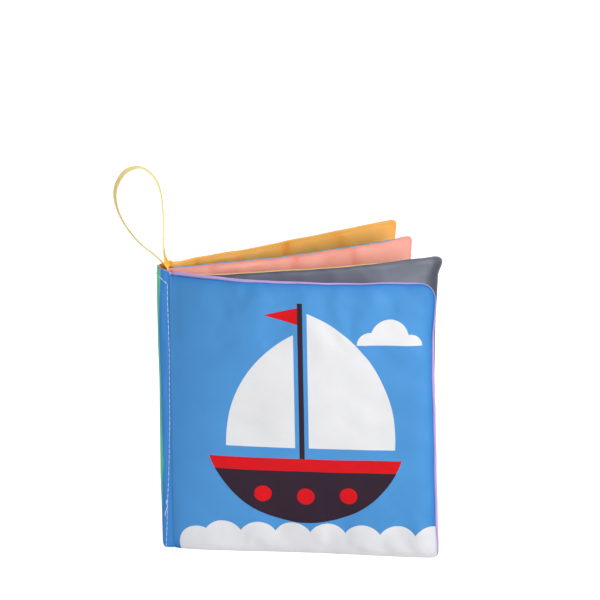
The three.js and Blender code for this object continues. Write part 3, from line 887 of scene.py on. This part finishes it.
def seam_roll(leaf, s, z):
    """How far one cloth of a leaf shows past the other round the edge, as a share of the rim."""
    if leaf.index == 0:
        least, more, reach = COVER_TOP_ROLL
        top = least + more * np.exp(-(s / reach) ** 2)
        free = on_line(COVER_ROLL, z)
        return top + (free - top) * np.clip((s - leaf.width + FREE_ROLL[0]) / FREE_ROLL[1], 0, 1)
    if leaf.index == 3:
        return np.full_like(s, BACK_COVER_ROLL)
    return PAGE_ROLL * np.clip((ROLL_ENDS[leaf.name] - s) / ROLL_FADE, 0, 1)


CLOTH_MATERIALS = {
    "front_cover_outside": cover_print, "front_cover_inside": satins["lilac"],
    "leaf_2_front": satins["grey"], "leaf_2_back": satins["yellow"],
    "leaf_3_front": satins["pink"], "leaf_3_back": satins["sky"],
    "back_cover_inside": satins["orange"], "back_cover_outside": satins["green"],
}
WADDING_LEAST = 0.3     # behind the leaf's middle, in millimetres


def add_cloths(leaf, crumples):
    over_side = -1 if leaf.index == 3 else 1
    for side, node in zip((-1, 1), leaf.cloths):
        points, faces, cloth, painted_shade = cloth_panel(leaf, side, side == over_side, crumples)
        materials = [CLOTH_MATERIALS[node]]
        piece = new_piece(f"{node}_cloth", points, faces, materials, cloth, painted_shade=painted_shade)
        thickened(piece)
        stands_for(piece, leaf.name, node)


FILM_CRINKLE = 0.12


def add_filling(leaf, crumples):
    """The film behind the front cloth and the wadding behind the film, each one closed layer."""
    s, z = flat_grid(
        FILL_ROOT_INSET, leaf.width - FILL_INSET, FILL_INSET, leaf.height - FILL_INSET,
        FOOT_RADIUS, FOOT_RADIUS,
    )
    front, back = [surface(leaf, side, s, z, crumples) for side in (-1, 1)]
    crinkle = np.sin(s * 1.9 + 2 * np.sin(z * 0.7)) * np.sin(z * 1.3 + 2 * np.sin(s * 0.9))
    film = front + FILM_DEPTH + FILM_CRINKLE * crinkle
    middle = (front + back) / 2
    wadding_front = np.minimum(front + WADDING_DEPTH, middle)
    wadding_back = np.maximum(back - WADDING_BACK_DEPTH, middle + WADDING_LEAST)
    layers = [
        ("crinkle_film", film, film + FILM_THICKNESS, clear_film),
        ("wadding", wadding_front, wadding_back, white_wadding),
    ]
    rows, columns = s.shape
    size = rows * columns
    for name, low, high, material in layers:
        points = [leaf.bend(s, z, offset).reshape(-1, 3) for offset in (low, high)]
        faces = []
        for quad in quads(rows, columns):
            faces += [quad, [size + corner for corner in reversed(quad)]]
        border = [j * columns + i for j, i in border_of(rows, columns)]
        for a, b in zip(border, border[1:] + border[:1]):
            faces.append([b, a, size + a, size + b])
        node = f"{leaf.name}_{name}"
        piece = new_piece(f"{node}_layer", np.concatenate(points), faces, [material])
        stands_for(piece, leaf.name, node)


def add_leaves():
    for leaf in LEAVES:
        crumples = simulated_crumples(leaf)
        add_cloths(leaf, crumples)
        add_filling(leaf, crumples)


add_leaves()


# Spine: lines that run down it, as heights and distances from the hinge plane
FOLD_LINE = [(0, -5.7), (14, -5.85), (36, -6.3), (89, -6.1), (107, -6.5), (134, -6.7), (152, -6.35)]
SEAM_LINE = [
    (0, -3.75), (10, -3.3), (26, -2.7), (37, -2.0), (70, -0.9), (108, -0.65), (135, -1.2),
    (150, -1.1),
]
PRINT_EDGE = [
    (0, -5.65), (8, -5.75), (19, -5.55), (37, -5.15), (45, -4.5), (65, -5.1), (90, -5.2),
    (118, -5.8), (134, -5.25), (145, -4.6), (153, -4.3),
]
SEAM_START_Z = 1.3
SEAM_TURN_Z = 143.4
SEAM_END_Z = 147.9
SEAM_END_GAP = 0.05     # from the fold
SEAM_STEPS = (90, 24)   # up the spine, and aslant
SEAM_GROOVE = 0.45
SPINE_HEIGHT = 150
SPINE_WAY = 18          # from hinge line to hinge line round the fold, on the cloth's own map
SPINE_ROWS = 60
SPINE_COLUMNS = 16
LINING_INSET = 0.42
LINING_LIP = 1.1
CHANGE_INSET = 0.1      # the lining changes colour so far inside its fold
LIP_TURN = 0.35
LIP_DROP = 0.4
RISE_FADE = 0.8         # how much of the lining's rise at the front is lost at the back
INNER_LIP = 1.1
INNER_ROWS = 24
INNER_FOOT = 0.3        # the inner sheet's height over the floor
SPINE_RIPPLES = [(0.12, 6.1, 0), (0.08, 2.7, 1)]
ROUTE_SAMPLES = 161
HALF_SAMPLES = ROUTE_SAMPLES // 2 + 1

# The spine's top edge dips at the front seam and stands up at the back; its foot is rounded at the
# fold. Heights against the share of the way round, from the front seam over the fold to the back.
SPINE_TOP = [
    (0, 149.3), (0.12, 149.6), (0.25, 150.5), (0.38, 151.4), (0.5, 152.0), (0.6, 152.1),
    (0.7, 152.7), (0.85, 153.4), (1, 153.8),
]
SPINE_FOOT = [
    (0, 0.1), (0.22, 0.15), (0.32, 0.7), (0.39, 1.7), (0.45, 3.1), (0.5, 4.2), (0.55, 3.1),
    (0.61, 1.7), (0.68, 0.7), (0.78, 0.15), (1, 0.1),
]


def smooth_curve(points, count):
    """A Catmull-Rom curve through points, as an even number of steps for each span."""
    points = np.asarray(points, float)
    ends = 2 * points[0] - points[1], 2 * points[-1] - points[-2]
    p = np.concatenate([[ends[0]], points, [ends[1]]])
    t = np.linspace(0, len(points) - 1, count)
    k = np.minimum(t.astype(int), len(points) - 2)
    u = (t - k)[:, None]
    a, b, c, d = p[k], p[k + 1], p[k + 2], p[k + 3]
    square, cube = 2 * a - 5 * b + 4 * c - d, 3 * b - a - 3 * c + d
    return 0.5 * (2 * b + (c - a) * u + square * u ** 2 + cube * u ** 3)


def spine_plan(z):
    """The outer cloth's way round the spine at a height, from the front hinge line to the back."""
    fold, seam = on_line(FOLD_LINE, z), on_line(SEAM_LINE, z)
    ripple = sum(depth * math.sin(z / length + start) for depth, length, start in SPINE_RIPPLES)
    crest = fold - seam
    half = [
        (0, 0.05), (seam * 0.5, 0.25), (seam, SEAM_GROOVE),
        (seam + 0.3 * crest, 0.6 + ripple * 0.5), (seam + 0.62 * crest, 1.0 - ripple),
        (seam + 0.9 * crest, 2.0), (fold, STACK_MIDDLE),
    ]
    return smooth_curve(half + [(x, STACK_DEPTH - y) for x, y in half[-2::-1]], ROUTE_SAMPLES)


def inset_plan(plan, inset):
    """The plan moved towards the inside of the fold."""
    along = np.gradient(plan, axis=0)
    return plan + units(np.stack([along[:, 1], -along[:, 0]], 1)) * inset


def front_depth(plan, x):
    """How deep the front half of a plan lies at a distance from the hinge plane."""
    return np.interp(-x, -plan[:HALF_SAMPLES, 0], plan[:HALF_SAMPLES, 1])


def add_strip(name, node, points, cloth, columns, colours, change, painted_shade=None):
    """A strip round the spine, of two satins that meet at the change, a column of its points."""
    faces = [(a, d, c, b) for a, b, c, d in quads(len(points) // columns, columns)]
    half = [int(face[0] % columns >= change) for face in faces]
    materials = [satins[colour] for colour in colours]
    strip = new_piece(name, points, faces, materials, cloth, half, painted_shade)
    thickened(strip)
    return stands_for(strip, "spine", node)


def spine_strip(name, node, inset, change_line, colours, front_rise, lip, painted_shade):
    """A cloth that goes round the spine. It changes colour along a line on its front half, and
    stands higher at the front by a rise. A lip turns its ends in, so that no slit shows."""
    points, cloth, shade = [], [], []
    shares = np.linspace(0, 1, ROUTE_SAMPLES)
    front = slice(HALF_SAMPLES)
    for j in range(SPINE_ROWS + 1):
        v = j / SPINE_ROWS
        plan = inset_plan(spine_plan(v * SPINE_HEIGHT), inset)
        change_x = on_line(change_line, v * SPINE_HEIGHT)
        change = np.interp(-change_x, -plan[front, 0], shares[front])
        places = np.concatenate([
            np.linspace(0, change, SPINE_COLUMNS + 1),
            np.linspace(change, 1, SPINE_COLUMNS + 1)[1:],
        ])
        x, y = [np.interp(places, shares, plan[:, axis]) for axis in (0, 1)]
        if lip:
            x = np.concatenate([[lip, lip * 0.5], x, [lip * 0.5, lip]])
            y = np.concatenate([[y[0] + LIP_TURN] * 2, y, [y[-1] - LIP_TURN] * 2])
            places = np.concatenate([[0, 0], places, [1, 1]])
        low = on_line(SPINE_FOOT, places)
        high = on_line(SPINE_TOP, places) + front_rise * (1 - RISE_FADE * places)
        if lip:
            high = high - LIP_DROP * np.clip(x / lip, 0, 1) * (places < 0.5)
        z = low + (high - low) * v
        points.append(row(x, y, z))
        cloth.append(np.stack([places * SPINE_WAY - SPINE_WAY, z], 1))
        # Painted shade on the front half of the strip, before its colour change
        shade.append(np.where(places < change, painted_shade, 0))
    first = 2 if lip else 0
    columns = 2 * SPINE_COLUMNS + 1 + 2 * first
    points, cloth, shade = [np.concatenate(part) for part in (points, cloth, shade)]
    strip = add_strip(name, node, points, cloth, columns, colours, SPINE_COLUMNS + first, shade)


def hairpin_strip(name, node, leg_y, reach, spread, colours, front_top, back_top):
    """The inner sheet's fold inside the spine: two straight legs and a round turn."""
    radius = STACK_MIDDLE - leg_y
    turn = radius - reach
    bend = [
        (turn - radius * math.sin(a), STACK_MIDDLE - radius * math.cos(a))
        for a in np.linspace(0, math.pi, 13)
    ]
    far_leg = STACK_DEPTH - leg_y
    plan = [
        (INNER_LIP, leg_y - spread), (turn * 0.5, leg_y), *bend, (turn * 0.5, far_leg),
        (INNER_LIP, far_leg + spread),
    ]
    points, cloth = [], []
    columns = len(plan)
    for v in np.linspace(0, 1, INNER_ROWS + 1):
        for i, (x, y) in enumerate(plan):
            top = front_top + (back_top - front_top) * i / (columns - 1)
            points.append(row(x, y, INNER_FOOT + v * (top - INNER_FOOT)))
            cloth.append((i * 0.6 - 8, v * top))
    add_strip(name, node, points, cloth, columns, colours, columns // 2)


def add_spine():
    spine_strip("outer_cloth_round_spine", "outer_spine_strip", 0, PRINT_EDGE,
                ("blue", "green"), 0, 0, SPINE_SHADE)
    lining_change = [(z, x + LINING_INSET + CHANGE_INSET) for z, x in FOLD_LINE]
    spine_strip("lining_round_spine", "lining_spine_strip", LINING_INSET, lining_change,
                ("lilac", "orange"), 0.45, LINING_LIP, 0)
    hairpin_strip("inner_sheet_fold_outside", "inner_sheet_spine_strip_outside", 2.25, 2.8, 0,
                  ("grey", "sky"), 147.6, 150.2)
    hairpin_strip("inner_sheet_fold_inside", "inner_sheet_spine_strip_inside", 2.8, 2.2, 0.15,
                  ("yellow", "pink"), 147.4, 150.6)


add_spine()


# One face of a band, with its edges broken, as shares of its width and thickness
BAND_FACE = [(-0.5, 0.2), (-0.47, 0.5), (0.47, 0.5), (0.5, 0.2)]


def flat_band(route, across, width, thickness):
    """A band with rounded edges along a route: points, faces and flat places."""
    section = BAND_FACE + [(-w, -t) for w, t in BAND_FACE]
    out = np.cross(units(np.gradient(route, axis=0)), across)
    steps = np.linalg.norm(np.diff(route, axis=0), axis=1)
    travelled = np.concatenate([[0], np.cumsum(steps)])
    points, cloth, faces = [], [], []
    n = len(section)
    for k in range(len(route)):
        for w, t in section:
            points.append(route[k] + across[k] * w * width + out[k] * t * thickness)
            cloth.append((w * width, travelled[k]))
    for first in range(0, (len(route) - 1) * n, n):
        for i in range(n):
            m = (i + 1) % n
            faces.append((first + i, first + m, first + n + m, first + n + i))
    faces.append(tuple(range(n - 1, -1, -1)))
    faces.append(tuple(range((len(route) - 1) * n, len(route) * n)))
    return np.array(points), faces, cloth


# Stitches: a row of them follows a line, each a short swell of thread that dips at both ends
STITCH_LENGTH = 3.0
THREAD_DIAMETER = 0.36
STITCH_GAP_SHARE = 0.03
STITCH_LEAST = (0.9, 0.9, 0.93)     # how the stitches' thickness and length vary
STITCH_MOST = (1.12, 1.12, 1.06)


def stitch_tree():
    """Geometry nodes that turn a line into a row of stitches."""
    tree = bpy.data.node_groups.new("row_of_stitches", "GeometryNodeTree")
    sockets = {
        "Line": "Geometry", "Stitch Length": "Float", "Thread Diameter": "Float",
        "Gap Share": "Float", "Seed": "Int", "Thread": "Material", "Stitches": "Geometry",
    }
    for name, kind in sockets.items():
        way = "OUTPUT" if name == "Stitches" else "INPUT"
        tree.interface.new_socket(name, in_out=way, socket_type=f"NodeSocket{kind}")
    given = tree.nodes.new("NodeGroupInput")
    line = add(tree, "GeometryNodeMeshToCurve", {"Mesh": given.outputs["Line"]})
    holes = add(tree, "GeometryNodeCurveToPoints", {
        "Curve": line, "Length": given.outputs["Stitch Length"],
    }, mode="LENGTH")
    swell = add(tree, "GeometryNodeMeshUVSphere", {"Segments": 8, "Rings": 7, "Radius": 0.5})
    thick = given.outputs["Thread Diameter"]
    shown = maths(tree, "SUBTRACT", 1.0, given.outputs["Gap Share"])
    long = maths(tree, "MULTIPLY", given.outputs["Stitch Length"], shown)
    size = add(tree, "ShaderNodeCombineXYZ", {"X": thick, "Y": thick, "Z": long})
    aim = add(tree, "FunctionNodeAlignRotationToVector", {
        "Vector": holes.outputs["Tangent"],
    }, axis="Z")
    vary = add(tree, "FunctionNodeRandomValue", {
        "Min": STITCH_LEAST, "Max": STITCH_MOST, "Seed": given.outputs["Seed"],
    }, data_type="FLOAT_VECTOR")
    scale = add(tree, "ShaderNodeVectorMath", {0: size, 1: vary}, operation="MULTIPLY")
    row_of_swells = add(tree, "GeometryNodeInstanceOnPoints", {
        "Points": holes.outputs["Points"], "Instance": swell.outputs["Mesh"],
        "Rotation": aim, "Scale": scale,
    })
    real = add(tree, "GeometryNodeRealizeInstances", {"Geometry": row_of_swells})
    smooth = add(tree, "GeometryNodeSetShadeSmooth", {"Geometry": real})
    finished = add(tree, "GeometryNodeSetMaterial", {
        "Geometry": smooth, "Material": given.outputs["Thread"],
    })
    add(tree, "NodeGroupOutput", {"Stitches": finished})
    return tree


def sewn_line(name, points, tree, seed):
    """A row of stitches along points of the shared frame."""
    mesh = bpy.data.meshes.new(name)
    steps = [(i, i + 1) for i in range(len(points) - 1)]
    mesh.from_pydata([tuple(p) for p in points], steps, [])
    piece = placed(name, mesh)
    stitches = piece.modifiers.new("stitches", "NODES")
    stitches.node_group = tree
    values = {
        "Stitch Length": STITCH_LENGTH * MM, "Thread Diameter": THREAD_DIAMETER * MM,
        "Gap Share": STITCH_GAP_SHARE, "Seed": seed, "Thread": white_thread,
    }
    for socket in tree.interface.items_tree:
        if socket.name in values:
            stitches[socket.identifier] = values[socket.name]
    return made_plain(piece)


def seam_points(on_back, lift):
    """The seam's line on the outer cloth: up the spine, then aslant to the fold near the top."""
    points = []
    for z in np.linspace(SEAM_START_Z, SEAM_TURN_Z, SEAM_STEPS[0]):
        x = on_line(SEAM_LINE, z)
        points.append((x, front_depth(spine_plan(z), x) - lift, z))
    turn_x = on_line(SEAM_LINE, SEAM_TURN_Z)
    end_x = on_line(FOLD_LINE, SEAM_END_Z) + SEAM_END_GAP
    for share in np.linspace(0, 1, SEAM_STEPS[1])[1:]:
        x = turn_x + (end_x - turn_x) * share
        z = SEAM_TURN_Z + (SEAM_END_Z - SEAM_TURN_Z) * share
        points.append((x, front_depth(inset_plan(spine_plan(z), -lift), x), z))
    if on_back:
        points = [(x, STACK_DEPTH - y, z) for x, y, z in points]
    return [row(*point) for point in points]


# Near the spine's foot the needle thread is fastened off in a loose turn, and its tail lies on the
# cloth. It is shorter than a cord that would be declared.
THREAD_TAIL = [(-2.95, 26.2), (-3.35, 25), (-2.8, 23.4), (-3.3, 21.2), (-4.05, 19), (-3.85, 17.4)]
TAIL_LIFT = 0.2
STITCH_LIFT = 0.12


def add_thread_tail():
    flat = smooth_curve(THREAD_TAIL, 25)
    depths = [front_depth(spine_plan(z), x) - TAIL_LIFT for x, z in flat]
    route = np.stack([flat[:, 0], depths, flat[:, 1]], 1)
    across = units(np.cross(np.gradient(route, axis=0), (0, -1, 0)))
    points, faces, cloth = flat_band(route, across, THREAD_DIAMETER, THREAD_DIAMETER)
    tail = new_piece("needle_thread_tail", row(*points.T), faces, [white_thread], cloth)
    stands_for(tail, "spine", "needle_thread")


def add_seam():
    tree = stitch_tree()
    needle = sewn_line("row_of_needle_stitches", seam_points(False, STITCH_LIFT), tree, 3)
    stands_for(needle, "spine", "needle_thread")
    bobbin = sewn_line("row_of_bobbin_stitches", seam_points(True, STITCH_LIFT), tree, 7)
    stands_for(bobbin, "spine", "bobbin_thread")
    add_thread_tail()


add_seam()


# Ribbon: the loop's route, as in the model's source: the distance from the hinge plane, and the
# height. It twists on the way round, and its feet lie one behind the other.
RIBBON_ROUTE = [
    (-0.9, 149.6), (-1.5, 151.3), (-3.1, 153.5), (-4.9, 155.4), (-8.3, 158.5), (-13.9, 163.1),
    (-19.3, 169.5), (-23.6, 176.5), (-26.1, 183.5), (-26.8, 189.8), (-25.4, 195.5), (-21.9, 200.9),
    (-17.3, 203.2), (-13.7, 203.4), (-9.7, 201.3), (-6.2, 197.0), (-4.2, 191.7), (-3.2, 185.1),
    (-2.7, 176.5), (-2.7, 170.3), (-2.9, 164.6), (-2.6, 159.2), (-2.0, 155.4), (-0.9, 152),
    (-0.5, 150.4),
]
RIBBON_WIDTH = 3
RIBBON_THICKNESS = 0.35
RIBBON_TWIST = [
    (0, 0), (0.04, 14), (0.1, 27), (0.2, 28), (0.28, 28), (0.33, 31), (0.37, 38), (0.42, 47),
    (0.46, 43), (0.49, 28), (0.52, 12), (0.56, 2), (0.63, 6), (0.7, 9), (0.88, 9), (0.91, 16),
    (0.95, 50), (0.975, 50), (1, 5),
]
RIBBON_DEPTH = [(0, -0.85), (0.05, -0.85), (0.14, 0), (0.88, 0), (0.95, 1.3), (1, 1.3)]
RIBBON_SAMPLES = 161
RIBBON_ENDS_APART = 0.56
RIBBON_END_STEPS = 12


def add_ribbon():
    flat = smooth_curve(RIBBON_ROUTE, RIBBON_SAMPLES)
    shares = np.linspace(0, 1, RIBBON_SAMPLES)
    route = np.stack([flat[:, 0], STACK_MIDDLE + on_line(RIBBON_DEPTH, shares), flat[:, 1]], 1)
    along = units(np.gradient(route, axis=0))
    twist = np.radians(on_line(RIBBON_TWIST, shares))[:, None]
    deep = np.array([0, 1, 0])
    across = deep * np.cos(twist) + np.cross(along, deep) * np.sin(twist)
    points, faces, cloth = flat_band(route, across, RIBBON_WIDTH, RIBBON_THICKNESS)
    ribbon = new_piece("ribbon", row(*points.T), faces, [ribbon_weave], cloth)
    stands_for(ribbon, "spine", "ribbon_loop")
    path = row(*route.T)


def add_ribbon_ends():
    """Both ends run down side by side inside the spine."""
    low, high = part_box("ribbon_sewn_ends")
    z = np.linspace(low.z / MM, high.z / MM, RIBBON_END_STEPS)
    middle = (low.x + high.x) / 2 / MM - HINGE_X / MM
    across = np.repeat([[0.0, 1.0, 0.0]], len(z), 0)
    points, faces, cloth = [], [], []
    for place in (-RIBBON_ENDS_APART / 2, RIBBON_ENDS_APART / 2):
        x = np.full_like(z, middle + place)
        route = np.stack([x, np.full_like(z, STACK_MIDDLE), z], 1)
        band, band_faces, band_cloth = flat_band(route, across, RIBBON_WIDTH, RIBBON_THICKNESS)
        faces += [[corner + len(points) for corner in face] for face in band_faces]
        points += list(band)
        cloth += band_cloth
    ends = new_piece("ribbon_ends_in_spine", row(*np.array(points).T), faces, [ribbon_weave], cloth)
    stands_for(ends, "spine", "ribbon_sewn_ends")


add_ribbon()
add_ribbon_ends()


# Stage: pale paper that the camera sees nearly white, with the book's shadow on it, and soft lamps
FLOOR_REACH = 3
FLOOR_WHITE = 1.75
FLOOR_WHITE_SHARE = 0.5
WORLD_LIGHT = 0.2
LAMP_TARGET = (0, 0, 0.08)
LAMPS = [       # name, place and size in metres, and power in watts
    ("key", (1, -1.1, 0.6), 0.8, 17.8),
    ("front", (0, -1.5, 0.4), 0.8, 2.8),
    ("back", (0.2, 0.9, 1.2), 1, 3),
    ("left", (-0.9, 0.8, 0.5), 0.6, 6),
    ("top", (-0.4, 0.1, 1.4), 0.8, 6),
]


def add_floor():
    mesh = bpy.data.meshes.new("floor")
    r = FLOOR_REACH
    mesh.from_pydata([(-r, -r, 0), (r, -r, 0), (r, r, 0), (-r, r, 0)], [], [(0, 1, 2, 3)])
    floor = placed("floor", mesh)
    made, tree = new_material("studio_paper")
    matte = add(tree, "ShaderNodeBsdfDiffuse", {"Color": linear("#f4f4f4")})
    white = add(tree, "ShaderNodeEmission", {"Color": (1, 1, 1, 1), "Strength": FLOOR_WHITE})
    path = add(tree, "ShaderNodeLightPath")
    seen = maths(tree, "MULTIPLY", path.outputs["Is Camera Ray"], FLOOR_WHITE_SHARE)
    mix = add(tree, "ShaderNodeMixShader", {0: seen, 1: matte, 2: white})
    add(tree, "ShaderNodeOutputMaterial", {"Surface": mix})
    mesh.materials.append(made)


def add_world():
    world = bpy.data.worlds.new("studio")
    world.use_nodes = True
    bpy.context.scene.world = world
    tree = world.node_tree
    tree.nodes.clear()
    path = add(tree, "ShaderNodeLightPath")
    level = ranged(tree, path.outputs["Is Camera Ray"], 0, 1, WORLD_LIGHT, 1)
    light = add(tree, "ShaderNodeBackground", {"Color": (1, 1, 1, 1), "Strength": level})
    add(tree, "ShaderNodeOutputWorld", {"Surface": light})


def add_lamps():
    for name, place, size, power in LAMPS:
        lamp = bpy.data.lights.new(name, "AREA")
        lamp.shape = "SQUARE"
        lamp.size = size
        lamp.energy = power
        holder = placed(name, lamp)
        holder.location = place
        aim = Vector(LAMP_TARGET) - Vector(place)
        holder.rotation_euler = aim.to_track_quat("-Z", "Y").to_euler()


add_floor()
add_world()
add_lamps()

bpy.context.scene.view_settings.view_transform = "Standard"
